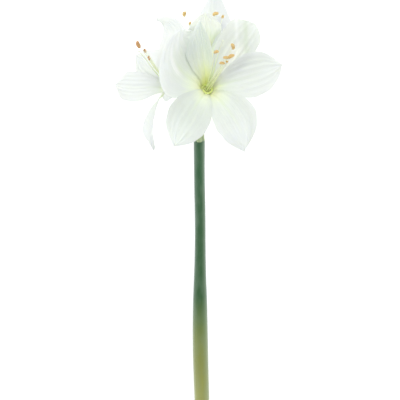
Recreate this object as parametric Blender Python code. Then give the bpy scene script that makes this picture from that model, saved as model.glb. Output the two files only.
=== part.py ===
"""Cut amaryllis stem lying on a table: one thick flower stalk with three open white blooms.

The stalk's cut end is towards -Y and the blooms are towards +Y. Metres, +Z up, and the table is z = 0.
Each bloom is a green tube on its own stalk, six tepals, six stamens and a style. The tepals of a bloom all
lie on one funnel-shaped surface, each a little inside or outside its neighbours, so that they overlap without
touching. Places are given in millimetres, before the whole stem is centred on the table.
"""
import math

import bmesh
import bpy
import numpy as np

MM = 0.001

# Clearance between neighbouring pieces
GAP = 0.3 * MM

# Points on a line before it is shared out evenly
FINE_STEPS = 200

# Flower stalk, from the cut end to the top: (x, y, z) of its centre line, and its radius
STALK_LINE = [
    (3.1, -300, 10.39), (0.7, -215, 19), (0.1, -130, 32),
    (0.4, -40, 48), (-0.7, 30, 63), (-1.0, 84, 76),
]
STALK_RADII = [10.6, 10.9, 11.0, 10.9, 10.2, 8.7, 7.9, 7.7, 7.8, 7.8, 8.0]
STALK_SIDES = 14
STALK_RINGS = 15

# Stalklet, from its root on the flower stalk to the rim of the bloom: share of its length, and radius.
# It swells at the ovary and widens again into the tube.
STALKLET_PROFILE = [
    (0, 3.4), (0.15, 3.6), (0.45, 3.7), (0.60, 5.4),
    (0.72, 6.3), (0.80, 5.5), (0.88, 6.0), (1, 7.6),
]
STALKLET_SIDES = 12
STALKLET_PULL = 0.42
SHORT_PULL = 0.25
RIM_GAP = 0.6 * MM

# Roots of the three stalklets on the top of the stalk: across it and up it, in millimetres
STALKLET_ROOTS = [(0, 4.1), (-3.7, -2.2), (3.7, -2.2)]

# Funnel that the tepals of a bloom lie on: the radius of its rim, and the share of a tepal where it turns over
RIM_RADIUS = 6.2 * MM
TIP_FROM = 0.62
MERIDIAN_STEPS = 24

# Tepal: a narrow claw, widest past its middle, with a keel along the midrib and waved edges
TEPAL_THICKNESS = 0.7 * MM
CLAW_HALF_WIDTH = 3.9 * MM
CLAW_HALF_ANGLE = math.radians(41)
TIP_HALF_WIDTH = 0.6 * MM
WIDEST_AT = 0.57
LAYER_AT_RIM, LAYER_OUTSIDE = 1.0 * MM, 2.4 * MM
KEEL_DEPTH = 0.8 * MM
RUFFLE_HEIGHT = 1.8 * MM
TEPAL_ROWS = 11
TEPAL_COLUMNS = 6

# Stamens: a small ring in the throat, six filaments and their anthers
RING_RADIUS, RING_THICKNESS = 3.0 * MM, 1.1 * MM
RING_STEPS, RING_SIDES = 18, 6
FILAMENT_RADII = (0.85 * MM, 0.6 * MM)
FILAMENT_SEGMENTS = 8
FILAMENT_SIDES = 5
FILAMENT_PULLS = (0.42, 0.30)
FILAMENT_LEAN = 0.5
ANTHER_LENGTH, ANTHER_RADIUS = 10.5 * MM, 2.9 * MM
ANTHER_BOW = 0.14
ANTHER_RINGS, ANTHER_SIDES = 6, 5

# Style, with its stigma at the tip
STYLE_RADIUS, STIGMA_RADIUS = 0.75 * MM, 1.7 * MM
STYLE_SHARES = (0, 0.14, 0.28, 0.42, 0.56, 0.7, 0.84, 0.95, 0.985, 1)
STYLE_SIDES = 6

COLOURS = {
    "stalk": (0.10, 0.19, 0.07),
    "stalklet": (0.33, 0.46, 0.18),
    "tepal": (0.80, 0.84, 0.72),
    "stamens": (0.86, 0.62, 0.24),
    "style": (0.86, 0.90, 0.74),
}


def ease(x):
    """A smooth step from 0 to 1."""
    x = np.clip(x, 0.0, 1.0)
    return x * x * (3.0 - 2.0 * x)


def unit(v):
    v = np.asarray(v, float)
    return v / np.linalg.norm(v)


class Bloom:
    """A bloom's own frame and the funnel-shaped surface that its tepals lie on.

    Azimuths are in degrees round the bloom's axis, from its reference direction. Each anther is its place, the
    direction that it lies along, and its size. The funnel is given by its slope at the rim, in degrees, and the
    shares of a tepal between which it opens.
    """

    def __init__(self, name, rim, axis, reference, tepals, anthers, stigma, funnel, end_pull=STALKLET_PULL):
        self.name = name
        self.rim_slope = math.radians(funnel[0])
        self.opens = funnel[1:]
        self.rim = np.array(rim, float) * MM
        self.axis = unit(axis)
        self.across = unit(np.asarray(reference, float) - self.axis * np.dot(reference, self.axis))
        self.aside = np.cross(self.axis, self.across)
        self.tepals = tepals
        self.anthers = np.array(anthers, float)[:, :3] * MM
        self.anther_turns = np.array(anthers, float)[:, 3:6]
        self.anther_sizes = np.array(anthers, float)[:, 6]
        self.stigma = np.array(stigma, float) * MM
        self.end_pull = end_pull

    def outward(self, azimuth):
        """Unit vectors square to the axis, at azimuths in degrees."""
        turned = np.radians(azimuth)[..., None]
        return np.cos(turned) * self.across + np.sin(turned) * self.aside

    def around(self, key, azimuth):
        """A tepal measure at any azimuth, eased from one tepal to the next."""
        ordered = sorted(self.tepals, key=lambda tepal: tepal["azimuth"])
        azimuths = np.array([tepal["azimuth"] for tepal in ordered], float)
        values = np.array([tepal[key] for tepal in ordered], float)
        turned = np.mod(azimuth, 360.0)
        before = np.searchsorted(azimuths, turned, side="right") - 1
        low = before % len(azimuths)
        high = (before + 1) % len(azimuths)
        start = azimuths[low] - np.where(before < 0, 360.0, 0.0)
        share = ease((turned - start) / np.mod(azimuths[high] - azimuths[low], 360.0))
        return values[low] * (1 - share) + values[high] * share

    def meridian(self, distance, azimuth):
        """Radius, height and slope of the funnel, a distance up from the rim of the tube."""
        length = self.around("length", azimuth) * MM
        flare = np.radians(self.around("flare", azimuth))
        tip = np.radians(self.around("tip", azimuth))

        def slope(at):
            share = at / length
            opening = ease((share - self.opens[0]) / (self.opens[1] - self.opens[0]))
            turning = np.clip((share - TIP_FROM) / (1 - TIP_FROM), 0, 1.3) ** 1.5
            return self.rim_slope + (flare - self.rim_slope) * opening + (tip - flare) * turning

        radius = np.full(np.shape(distance), RIM_RADIUS)
        height = np.zeros(np.shape(distance))
        step = distance / MERIDIAN_STEPS
        for i in range(MERIDIAN_STEPS):
            angle = slope(step * (i + 0.5))
            radius = radius + np.sin(angle) * step
            height = height + np.cos(angle) * step
        return radius, height, slope(distance)

    def place(self, radius, height, azimuth):
        """Position from radius, height and azimuth."""
        return self.rim + radius[..., None] * self.outward(azimuth) + height[..., None] * self.axis


def half_width(share, width, blunt):
    """Half-width of a tepal at a share of its length."""
    inner = 1 - (np.clip(WIDEST_AT - share, 0, 1) / WIDEST_AT) ** 2.1
    outer = 1 - (np.clip(share - WIDEST_AT, 0, 1) / (1 - WIDEST_AT)) ** blunt
    claw = CLAW_HALF_WIDTH * (1 - ease(share / 0.25))
    blade = width / 2 * inner * outer * ease(share / 0.15)
    return np.maximum(claw + blade, TIP_HALF_WIDTH)


def tepal_surface(bloom, tepal, share, across, lift):
    """Points of a tepal, at a share of its length, from -1 to 1 across it, lifted off its middle surface."""
    distance = share * tepal["length"] * MM
    azimuth = tepal["azimuth"] + tepal["bend"] * share ** 2 + tepal["sway"] * 4 * share * (1 - share)
    radius, _, slope = bloom.meridian(distance, azimuth)

    # Reach sideways, part of it turned off the funnel by the twist
    twist = math.radians(tepal["twist"]) * ease((share - 0.2) / 0.6)
    gain = np.where(across < 0, *tepal["gains"]) * ease((share - 0.2) / 0.3)
    reach = across * half_width(share, tepal["width"] * MM, tepal["blunt"]) * (1 + gain)
    tilted = reach * np.sin(twist)
    reach = reach * np.cos(twist)

    # The claw wraps round the throat, and the blade runs straight across
    straight = ease((share - 0.25) / 0.35)
    in_claw = CLAW_HALF_ANGLE * np.tanh(reach / radius / CLAW_HALF_ANGLE)
    turn = np.arctan2(reach, radius) * straight + in_claw * (1 - straight)
    along = distance + straight * radius * (1 / np.cos(turn) - 1) / np.maximum(np.sin(slope), 0.5)

    # Offset from the funnel: layer among the neighbours, rolled edges, keel and waves
    left, right = tepal["edges"]
    layer = LAYER_AT_RIM + (LAYER_OUTSIDE - LAYER_AT_RIM) * ease(share / 0.5)
    offset = layer * ((1 - across) / 2 * left + (1 + across) / 2 * right)
    offset = offset - tepal["roll"] * MM * across ** 2 * ease((share - 0.5) / 0.35)
    offset = offset + tilted - KEEL_DEPTH * np.clip(1 - np.abs(across) * 3, 0, 1) * ease(share / 0.2)
    wave = np.sin(2 * math.pi * (tepal["waves"] * share + tepal["azimuth"] / 90)) * np.abs(across) ** 3
    offset = offset + RUFFLE_HEIGHT * wave * ease((share - 0.45) / 0.35) + lift

    turned = azimuth + np.degrees(turn)
    radius, height, slope = bloom.meridian(along, turned)
    return bloom.place(radius - offset * np.cos(slope), height + offset * np.sin(slope), turned)


def drop_to_table(share, inner, outer):
    """Bend a tepal down, more towards its tip, until its lowest point meets the table."""
    outward = share > 0.5
    lowest = min((grid[..., 2][outward] / share[outward] ** 2).min() for grid in (inner, outer))
    for grid in (inner, outer):
        grid[..., 2] -= lowest * share ** 2


def solid_sheet(inner, outer):
    """Corners and faces of a closed blade between two grids of points, split alike on both into triangles."""
    rows, columns = inner.shape[:2]
    corners = [tuple(point) for point in inner.reshape(-1, 3)]
    corners += [tuple(point) for point in outer.reshape(-1, 3)]
    back = rows * columns
    faces = []
    for i in range(rows - 1):
        for j in range(columns - 1):
            a = i * columns + j
            b, c, d = a + 1, a + columns + 1, a + columns
            faces += [(a, b, c), (a, c, d)]
            faces += [(back + c, back + b, back + a), (back + d, back + c, back + a)]
    edge = list(range(columns))
    edge += [i * columns + columns - 1 for i in range(1, rows)]
    edge += [(rows - 1) * columns + j for j in range(columns - 2, -1, -1)]
    edge += [i * columns for i in range(rows - 2, 0, -1)]
    for a, b in zip(edge, edge[1:] + edge[:1]):
        faces += [(b, a, back + a), (b, back + a, back + b)]
    return corners, faces


def smooth_line(knots, count):
    """Points on a smooth curve through knots."""
    knots = np.asarray(knots, float)
    spans = len(knots) - 1
    padded = np.vstack([2 * knots[0] - knots[1], knots, 2 * knots[-1] - knots[-2]])
    points = []
    for at in np.linspace(0, spans, count):
        i = min(int(at), spans - 1)
        t = at - i
        p0, p1, p2, p3 = padded[i:i + 4]
        cubic = 3 * p1 - p0 - 3 * p2 + p3
        square = 2 * p0 - 5 * p1 + 4 * p2 - p3
        points.append((2 * p1 + (p2 - p0) * t + square * t ** 2 + cubic * t ** 3) / 2)
    return np.array(points)


def pulled_line(start, start_pull, end, end_pull):
    """Points on a curve that leaves its start along one pull and reaches its end along another."""
    t = np.linspace(0, 1, FINE_STEPS)[:, None]
    first = start + start_pull
    second = end - end_pull
    return (1 - t) ** 3 * start + 3 * (1 - t) ** 2 * t * first + 3 * (1 - t) * t ** 2 * second + t ** 3 * end


def shared_out(line, shares):
    """Points at shares of a fine line's length, and its directions there."""
    travelled = np.concatenate([[0], np.cumsum(np.linalg.norm(np.diff(line, axis=0), axis=1))])
    places = np.asarray(shares) * travelled[-1]
    slopes = np.gradient(line, axis=0)
    points = np.stack([np.interp(places, travelled, line[:, k]) for k in range(3)], axis=1)
    directions = np.stack([np.interp(places, travelled, slopes[:, k]) for k in range(3)], axis=1)
    return points, directions


def tube(points, directions, radii, sides):
    """Corners and faces of a closed tube along points, with its rings square to the directions."""
    up = np.array([0.03, 0.01, 1.0])
    corners = []
    for point, direction, radius in zip(points, directions, radii):
        direction = unit(direction)
        up = unit(up - direction * np.dot(up, direction))
        side = np.cross(direction, up)
        for k in range(sides):
            angle = 2 * math.pi * (k + 0.5) / sides
            corners.append(tuple(point + radius * (math.cos(angle) * up + math.sin(angle) * side)))
    faces = []
    for i in range(len(points) - 1):
        for k in range(sides):
            a = i * sides + k
            b = i * sides + (k + 1) % sides
            faces.append((a, b, b + sides, a + sides))
    last = (len(points) - 1) * sides
    faces.append(tuple(reversed(range(sides))))
    faces.append(tuple(range(last, last + sides)))
    return corners, faces


def ring(bloom, centre):
    """Corners and faces of a round ring square to a bloom's axis."""
    corners = []
    for outward in bloom.outward(np.arange(RING_STEPS) * 360 / RING_STEPS):
        for k in range(RING_SIDES):
            angle = 2 * math.pi * k / RING_SIDES
            shift = outward * math.cos(angle) + bloom.axis * math.sin(angle)
            corners.append(tuple(centre + outward * RING_RADIUS + shift * RING_THICKNESS))
    faces = []
    for i in range(RING_STEPS):
        here = i * RING_SIDES
        there = (i + 1) % RING_STEPS * RING_SIDES
        for k in range(RING_SIDES):
            after = (k + 1) % RING_SIDES
            faces.append((here + k, here + after, there + after, there + k))
    return corners, faces


def make_material(name):
    material = bpy.data.materials.new(name)
    material.use_nodes = True
    shader = material.node_tree.nodes["Principled BSDF"]
    shader.inputs["Base Color"].default_value = (*COLOURS[name], 1)
    shader.inputs["Roughness"].default_value = 0.5
    return material


def make_object(name, corners, faces, material, collection):
    """A mesh object with its faces pointing outward, shaded smooth except across sharp edges."""
    mesh = bpy.data.meshes.new(name)
    mesh.from_pydata(corners, [], faces)
    work = bmesh.new()
    work.from_mesh(mesh)
    bmesh.ops.recalc_face_normals(work, faces=work.faces)
    work.to_mesh(mesh)
    work.free()
    mesh.shade_smooth()
    mesh.set_sharp_from_angle(angle=math.radians(50))
    mesh.materials.append(material)
    item = bpy.data.objects.new(name, mesh)
    collection.objects.link(item)
    return item


def make_stalk(material, collection):
    """The thick flower stalk, down on the table at its cut end. Returns its top's centre and direction."""
    shares = np.linspace(0, 1, STALK_RINGS)
    points, directions = shared_out(smooth_line(np.array(STALK_LINE) * MM, FINE_STEPS), shares)
    radii = np.interp(shares, np.linspace(0, 1, len(STALK_RADII)), STALK_RADII) * MM
    corners, faces = tube(points, directions, radii, STALK_SIDES)
    lowest = min(corner[2] for corner in corners)
    corners = [(x, y, z - lowest) for x, y, z in corners]
    make_object("stalk", corners, faces, material, collection)
    return points[-1] - (0, 0, lowest), unit(directions[-1])


def make_stalklet(bloom, root, direction, material, collection):
    """Green stalklet, ovary and tube of one bloom, up to the rim that the tepals stand on."""
    end = bloom.rim - bloom.axis * RIM_GAP
    reach = np.linalg.norm(end - root)
    line = pulled_line(root, direction * reach * STALKLET_PULL, end, bloom.axis * reach * bloom.end_pull)
    places, radii = np.array(STALKLET_PROFILE).T
    halves = (places[1:] + places[:-1]) / 2
    shares = np.sort(np.concatenate([places, halves]))
    points, directions = shared_out(line, shares)
    section = np.clip(np.searchsorted(places, shares, side="right") - 1, 0, len(places) - 2)
    blend = ease((shares - places[section]) / (places[section + 1] - places[section]))
    thick = (radii[section] * (1 - blend) + radii[section + 1] * blend) * MM
    corners, faces = tube(points, directions, thick, STALKLET_SIDES)
    make_object(bloom.name + "_stalklet", corners, faces, material, collection)


def make_tepal(bloom, tepal, material, collection):
    shares = np.linspace(0, 1, TEPAL_ROWS + 1)
    share, across = np.meshgrid(shares, np.linspace(-1, 1, TEPAL_COLUMNS + 1), indexing="ij")
    inner = tepal_surface(bloom, tepal, share, across, TEPAL_THICKNESS / 2)
    outer = tepal_surface(bloom, tepal, share, across, -TEPAL_THICKNESS / 2)
    if tepal["rests"]:
        drop_to_table(share, inner, outer)
    corners, faces = solid_sheet(inner, outer)
    make_object(bloom.name + "_tepal_" + tepal["name"], corners, faces, material, collection)


def filament_line(bloom, base, end):
    """A filament leaves the tube along the bloom's axis and curves over with the others to its anther."""
    reach = np.linalg.norm(end - base)
    lean = unit(end - base) + unit(bloom.anthers.mean(axis=0) - bloom.rim) * FILAMENT_LEAN
    first, last = FILAMENT_PULLS
    return pulled_line(base, bloom.axis * reach * first, end, unit(lean) * reach * last)


def make_anther(end, direction, along, size, material, collection):
    """A plump, slightly bowed anther, balanced on the end of its filament."""
    along = unit(along)
    bow = unit(np.cross(along, np.cross(direction, along)))
    t = np.linspace(-1, 1, ANTHER_RINGS)
    length = ANTHER_LENGTH * size
    points = end + np.outer(t, along) * length / 2 - np.outer(t ** 2, bow) * length * ANTHER_BOW
    radii = ANTHER_RADIUS * size * np.sqrt(1 - 0.85 * t ** 2)
    corners, faces = tube(points, np.gradient(points, axis=0), radii, ANTHER_SIDES)
    make_object("anther", corners, faces, material, collection)


def make_stamens(bloom, material, collection):
    """Six filaments on a small ring in the throat, each with its anther, joined into one body."""
    centre = bloom.rim + bloom.axis * RING_THICKNESS
    corners, faces = ring(bloom, centre)
    stamens = make_object(bloom.name + "_stamens", corners, faces, material, collection)
    parts = bpy.data.collections.new(bloom.name + "_parts")
    collection.children.link(parts)
    shares = np.linspace(0, 1, FILAMENT_SEGMENTS + 1)
    radii = np.interp(shares, [0, 1], FILAMENT_RADII)
    bases = centre + bloom.outward(np.arange(30, 360, 60)) * RING_RADIUS
    for base, end, along, size in zip(bases, bloom.anthers, bloom.anther_turns, bloom.anther_sizes):
        points, directions = shared_out(filament_line(bloom, base, end), shares)
        corners, faces = tube(points, directions, radii, FILAMENT_SIDES)
        make_object("filament", corners, faces, material, parts)
        make_anther(end, directions[-1], along, size, material, parts)
    union = stamens.modifiers.new("union", "BOOLEAN")
    union.operation = "UNION"
    union.operand_type = "COLLECTION"
    union.collection = parts
    union.solver = "EXACT"
    evaluated = stamens.evaluated_get(bpy.context.evaluated_depsgraph_get())
    joined = bpy.data.meshes.new_from_object(evaluated)
    stamens.modifiers.remove(union)
    stamens.data = joined
    for item in list(parts.objects):
        bpy.data.objects.remove(item)
    bpy.data.collections.remove(parts)


def make_style(bloom, material, collection):
    """The style rises through the ring of stamens and ends in a small stigma."""
    line = filament_line(bloom, bloom.rim + bloom.axis * GAP, bloom.stigma)
    points, directions = shared_out(line, STYLE_SHARES)
    radii = np.full(len(STYLE_SHARES), STYLE_RADIUS)
    radii[-2:] = STIGMA_RADIUS
    corners, faces = tube(points, directions, radii, STYLE_SIDES)
    make_object(bloom.name + "_style", corners, faces, material, collection)


def petal(name, azimuth, length, width, flare, tip, edges, **changes):
    """Measures of one tepal: degrees round the axis, millimetres, and slopes of its middle and its tip.

    edges says whether its lower and higher edge lie inside (1) or outside (-1) the neighbour. bend turns the
    midrib sideways by the tip and sway in its middle, twist turns the blade about it, gains widen its two
    halves, blunt squares its tip, roll turns the edges back, and waves counts ruffles. A tepal that rests
    touches the table with its tip.
    """
    measures = {
        "bend": 0, "sway": 0, "twist": 0, "gains": (0, 0), "blunt": 2.3, "roll": 3.5, "waves": 1.5, "rests": False,
    }
    measures.update(name=name, azimuth=azimuth, length=length, width=width, flare=flare, tip=tip, edges=edges)
    measures.update(changes)
    return measures


def make_blooms():
    front = Bloom(
        "front", rim=(8.3, 151.4, 118), axis=(0.20, 0.26, 0.94), reference=(0, 1, 0), funnel=(12, 0.0, 0.43),
        tepals=[
            petal("top", 23, 115, 43, 50, 24, (1, 1), bend=-6, roll=1.0, blunt=1.7, gains=(-0.26, -0.04)),
            petal("left", 74, 107, 77, 68, 160, (-1, -1), bend=-38, sway=4, blunt=1.8, gains=(0.2, 0.09)),
            petal("lower_left", 146, 116, 61, 83.5, 109, (1, 1), bend=2, sway=-1.7, blunt=2.6),
            petal("lower_right", 207, 116, 67, 86, 128, (-1, 1), bend=-2, sway=6, blunt=2.2, gains=(-0.1, -0.03)),
            petal("right", 271, 117, 63, 79, 74, (-1, 1), bend=13, sway=6, blunt=2.8, gains=(-0.06, 0)),
            petal("upper_right", 316, 137, 59, 70, 160, (-1, -1), bend=6, sway=5, blunt=4.4, gains=(-0.2, 0.02)),
        ],
        anthers=[
            (22, 202, 182, 0.6, 0.1, 1, 0.95), (30, 187, 178, 1, -0.15, 0.4, 0.75), (37, 189, 174, 0.2, 0.1, 1, 0.6),
            (42, 196, 180, 1, 0.45, 0.3, 0.95), (45, 209, 186, -0.25, 0.6, 1, 1.1), (35, 194, 184, 1, -0.2, 0.6, 0.8),
        ],
        stigma=(31, 217, 188),
    )
    left = Bloom(
        "left", rim=(-26, 155, 73), axis=(-0.90, 0.26, 0.12), reference=(0, 1, 0), funnel=(10, 0.02, 0.47),
        end_pull=SHORT_PULL,
        tepals=[
            petal("top", 16, 136, 39, 102, -21, (1, 1), bend=11, sway=4, twist=29, roll=2.5, blunt=1.7,
                  gains=(0.38, -0.24)),
            petal("upper", 72, 112, 56, 56, 66, (-1, -1), bend=-8),
            petal("outer", 107, 124, 51, 51, 67, (1, 1), bend=-9, twist=-14, blunt=4.2, gains=(-0.05, -0.24),
                  rests=True),
            petal("lower", 203, 114, 43.5, 90, 166, (-1, 1), bend=-15, sway=4.5, twist=-10, blunt=1.7,
                  gains=(0.34, -0.26)),
            petal("near_lower", 266, 85, 45, 92, 150, (-1, 1)),
            petal("near_upper", 311, 84, 45, 92, 150, (-1, -1), bend=-6),
        ],
        anthers=[
            (-87, 218, 98, -0.4, 0.9, 0.6, 1.1), (-78, 211, 93, 0.1, 0.4, 1, 0.6), (-72, 200, 105, 0.1, 0.3, 1, 0.6),
            (-71, 198, 96, 0.2, 0.3, 1, 0.6), (-77, 210, 80, 0.1, 0.3, 1, 0.6), (-86, 217, 84, 0.1, 0.4, 1, 0.9),
        ],
        stigma=(-86, 209, 97),
    )
    back = Bloom(
        "back", rim=(8, 189, 74), axis=(0.04, 0.99, 0.04), reference=(0, 0, 1), funnel=(9, 0.06, 0.50),
        tepals=[
            petal("near", 357, 97, 44, 50, 62, (1, 1), roll=1.5),
            petal("near_right", 66, 90, 52, 54, 78, (-1, -1)),
            petal("far_right", 140, 117, 50, 80, 92, (1, 1), rests=True),
            petal("far", 171, 134, 36, 33, 42, (-1, -1), rests=True),
            petal("far_left", 220.5, 70, 38, 70, 118, (1, 1), bend=-10),
            petal("near_left", 306, 84, 44, 66, 110, (-1, -1), bend=24),
        ],
        anthers=[
            (32, 258, 90, 0.3, 0.8, 1, 0.65), (22, 263, 82, 0.7, 0.2, 1, 1.1), (12, 240, 88, 0.8, -0.2, 0.5, 0.9),
            (6, 249, 76, 0.9, 0.1, -0.4, 0.9), (-22, 262, 92, 0.1, 0.6, 1, 1), (-14, 248, 100, 0.2, 0.8, 0.9, 0.6),
        ],
        stigma=(1, 258, 97),
    )
    return [front, left, back]


def centre_on_table(items):
    """Hang everything from one empty, centred over the table's middle with the lowest point at z = 0."""
    corners = np.array([vertex.co for item in items for vertex in item.data.vertices])
    low, high = corners.min(axis=0), corners.max(axis=0)
    whole = bpy.data.objects.new("amaryllis", None)
    bpy.context.scene.collection.objects.link(whole)
    for item in items:
        item.parent = whole
    whole.location = (-(low[0] + high[0]) / 2, -(low[1] + high[1]) / 2, -low[2])


def main():
    for item in list(bpy.data.objects):
        bpy.data.objects.remove(item)
    collection = bpy.context.scene.collection
    materials = {name: make_material(name) for name in COLOURS}
    top, direction = make_stalk(materials["stalk"], collection)
    side = unit(np.cross(direction, (0, 0, 1)))
    above = np.cross(side, direction)
    for bloom, (across, up) in zip(make_blooms(), STALKLET_ROOTS):
        root = top + direction * GAP + side * across * MM + above * up * MM
        make_stalklet(bloom, root, direction, materials["stalklet"], collection)
        for tepal in bloom.tepals:
            make_tepal(bloom, tepal, materials["tepal"], collection)
        make_stamens(bloom, materials["stamens"], collection)
        make_style(bloom, materials["style"], collection)
    centre_on_table(list(collection.objects))


main()
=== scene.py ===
"""Looks of a cut amaryllis stem that lies on a pale table, seen from straight above.

Finer pieces of the same form replace each CAD solid. Places are in millimetres, before the stem is centred
on the table, as in the CAD model.
"""
import math

import bmesh
import bpy
import numpy as np
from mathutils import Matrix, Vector

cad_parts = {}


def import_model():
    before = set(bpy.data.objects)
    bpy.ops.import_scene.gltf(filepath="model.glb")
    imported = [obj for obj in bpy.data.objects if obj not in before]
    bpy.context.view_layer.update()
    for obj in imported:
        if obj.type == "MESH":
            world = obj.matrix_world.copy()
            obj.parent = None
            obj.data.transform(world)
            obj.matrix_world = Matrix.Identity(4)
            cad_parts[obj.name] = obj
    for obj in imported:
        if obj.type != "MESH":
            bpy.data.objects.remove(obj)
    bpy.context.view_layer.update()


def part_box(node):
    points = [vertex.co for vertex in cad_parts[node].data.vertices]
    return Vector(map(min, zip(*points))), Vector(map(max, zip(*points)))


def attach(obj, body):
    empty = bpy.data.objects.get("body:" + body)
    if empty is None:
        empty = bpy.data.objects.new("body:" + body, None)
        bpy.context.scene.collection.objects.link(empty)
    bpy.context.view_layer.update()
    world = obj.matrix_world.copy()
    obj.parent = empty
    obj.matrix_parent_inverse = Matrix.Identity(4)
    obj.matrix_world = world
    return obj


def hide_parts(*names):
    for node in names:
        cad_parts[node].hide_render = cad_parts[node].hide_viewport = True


MM = 0.001

# Stalk, from the cut end to the top: its centre line and its radii
STALK_LINE = [
    (3.1, -300, 10.39), (0.7, -215, 19), (0.1, -130, 32),
    (0.4, -40, 48), (-0.7, 30, 63), (-1, 84, 76),
]
STALK_RADII = [10.6, 10.9, 11, 10.9, 10.2, 8.7, 7.9, 7.7, 7.8, 7.8, 8]
STALK_STEPS, STALK_RINGS, STALK_SIDES = 200, 200, 80
STALK_CAD_RINGS, STALK_CAD_SIDES = 15, 14

# Ribs, flat sides and swells of the stalk's skin, in shares of its radius
RIBS, RIB_TWIST, RIB_DEPTH = 11, 2.5, 0.006
FLAT_TURN, FLAT_TWIST, FLAT_DEPTH = 0.5, 1.9, 0.018
SWELLS, SWELL_DEPTH = 23, 0.008

# Top of the stalk: degrees along its rounded edge, and shares of the radius on its dome
TOP_ROUNDING, TOP_TURNS = 1.6 * MM, (18, 36, 54, 72, 90)
TOP_DOME, TOP_SHARES = 0.25 * MM, (0.55, 0.25, 0.05)

# Cut face and hollow of the stalk: shares of its radius, and depths
CUT_FACE = [(0.97, 0), (0.9, 0.05), (0.82, -0.05), (0.74, 0.05), (0.66, 0), (0.58, 0.25)]
HOLLOW = [(0.56, 2), (0.55, 6), (0.54, 12), (0.5, 18), (0.3, 21), (0.05, 22)]

# Parts that repeat round a bloom
TEPALS, CARPELS = 6, 3

# Stalklet, ovary and tube from root to rim: share of the length, and radius
STALKLET_PROFILE = [
    (0, 3.4), (0.15, 3.6), (0.45, 3.7), (0.6, 5.4),
    (0.72, 6.3), (0.8, 5.5), (0.88, 6), (1, 7.6),
]
STALKLET_SIDES, STALKLET_RINGS = 120, 90
STALKLET_PULL, SHORT_PULL, STALKLET_GAP, RIM_GAP = 0.42, 0.25, 0.3 * MM, 0.6 * MM
STALKLET_ROOTS = [(0, 4.1), (-3.7, -2.2), (3.7, -2.2)]
FOOT_SUNK, FOOT_LENGTH, FOOT_FLARE = 1.2 * MM, 2 * MM, 0.2
OVARY_AT, OVARY_LENGTH, OVARY_LOBES = 0.72, 0.1, 0.055
TUBE_SPAN, SKIN_FLUTES = (0.8, 0.15), 0.012

# Collar round the claws: how far outside the rim, and how high
COLLAR = [(1.6, 1.2), (1.6, 3), (1.75, 5.2), (1.9, 6.6), (1.8, 6.6), (1.45, 4.4), (1.3, 1.2)]
COLLAR_WAVE, COLLAR_WAVED_FROM = 0.22, 2

# Seat under the claws and floor of the throat: radii and heights
SEAT = [(7.6, -0.3), (6, -0.4), (4.75, -0.3)]
THROAT_FLOOR = [(4.9, 4.8), (3.9, 4.5), (2.2, 4.8), (0.3, 5.1)]

# Lining of the throat, its fringe, and where it starts on the stalklet's texture
THROAT_FROM = 0.8
LINING_LENGTH, LINING_THICKNESS, LINING_INSET = 11 * MM, 0.3 * MM, 1.5 * MM
STEP_DEPTH, STEP_DEGREES = 1.9 * MM, 14
FLUTES, FLUTE_HEIGHT, LOBE_HEIGHT = 15, 0.025, 0.1
FRINGE, FRINGE_RISE, FRINGE_FLUTES = 2.1 * MM, 0.25, 0.12
FRINGE_LEAN, FRINGE_LEANS_TO = 0.25, math.radians(250)

# Course of the lining: share of its length, outer (0) or inner (1) side, and how far in along the fringe
LINING_COURSE = [
    (0.1, 0, 0), (0.4, 0, 0), (0.7, 0, 0), (0.9, 0, 0), (1, 0, 0.1), (1, 0, 0.5), (1, 0, 1),
    (0.96, 0, 1), (0.96, 0.5, 0.5), (0.9, 1, 0.1), (0.7, 1, 0), (0.5, 1, 0),
]

# Funnel that the tepals lie on, and how a tepal turns over near its tip
RIM_RADIUS = 6.2 * MM
TIP_FROM, TIP_LIMIT, TIP_CURVE = 0.62, 1.3, 1.5
MERIDIAN_STEPS = 24

# Tepal: a narrow claw, a keel along the midrib and waved edges
TEPAL_THICKNESS, MARGIN_THINNING = 0.7 * MM, 0.6
CLAW_HALF_WIDTH, TIP_HALF_WIDTH = 3.9 * MM, 0.6 * MM
CLAW_HALF_ANGLE = math.radians(41)
WIDEST_AT, INNER_CURVE = 0.57, 2.1
LAYER_AT_RIM, LAYER_OUTSIDE = 1 * MM, 2.4 * MM
LEAST_SPREAD = 0.5
KEEL_DEPTH, KEEL_WIDTH = 0.8 * MM, 0.13
RUFFLES, RUFFLE_HEIGHT = 1.5, 1.8 * MM
TEPAL_ROWS, TEPAL_COLUMNS = 96, 54

# Where a tepal's mesh ends, so that its finer relief stays inside the CAD box
TEPAL_END = 0.997

# Pleats along a tepal, and the height of the frills at its margins
PLEATS, PLEAT_HEIGHT, PLEAT_WANDER, PLEAT_WAVE = 3.5, 0.48 * MM, 0.15, 5
FRILL_HEIGHT = 0.65 * MM

# Waves of frills and notches: strength, count, and shifts by azimuth and by side
FRILL_WAVES = [(0.6, 3.1, 1, 0.37), (0.4, 6.7, 2.3, 0.61)]
NOTCH_WAVE = (0.012, 5.3, 1.7, 0.4)

# Spans over which a tepal's forms set in: start and length, as shares of the tepal
CLAW_SPAN, BLADE_SPAN = (0, 0.25), (0, 0.15)
TWIST_SPAN, GAIN_SPAN = (0.2, 0.6), (0.2, 0.3)
STRAIGHT_SPAN, LAYER_SPAN = (0.25, 0.35), (0, 0.5)
ROLL_SPAN, KEEL_SPAN, RUFFLE_SPAN = (0.5, 0.35), (0, 0.2), (0.45, 0.35)
PLEAT_SPAN, PLEAT_END_SPAN, FRILL_SPAN = (0.22, 0.3), (0, 0.12), (0.3, 0.3)

# Low cup of the stamens: radii and heights
CUP = [(3.9, -1.2), (4.2, 0.2), (4.3, 1.6), (4, 1.7), (3.3, 0.6), (2.2, -0.6), (1.4, -1.2)]
CUP_SIDES, CUP_TEXTURE_END, CUP_THICKNESS = 60, 0.02, 1.1 * MM

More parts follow.
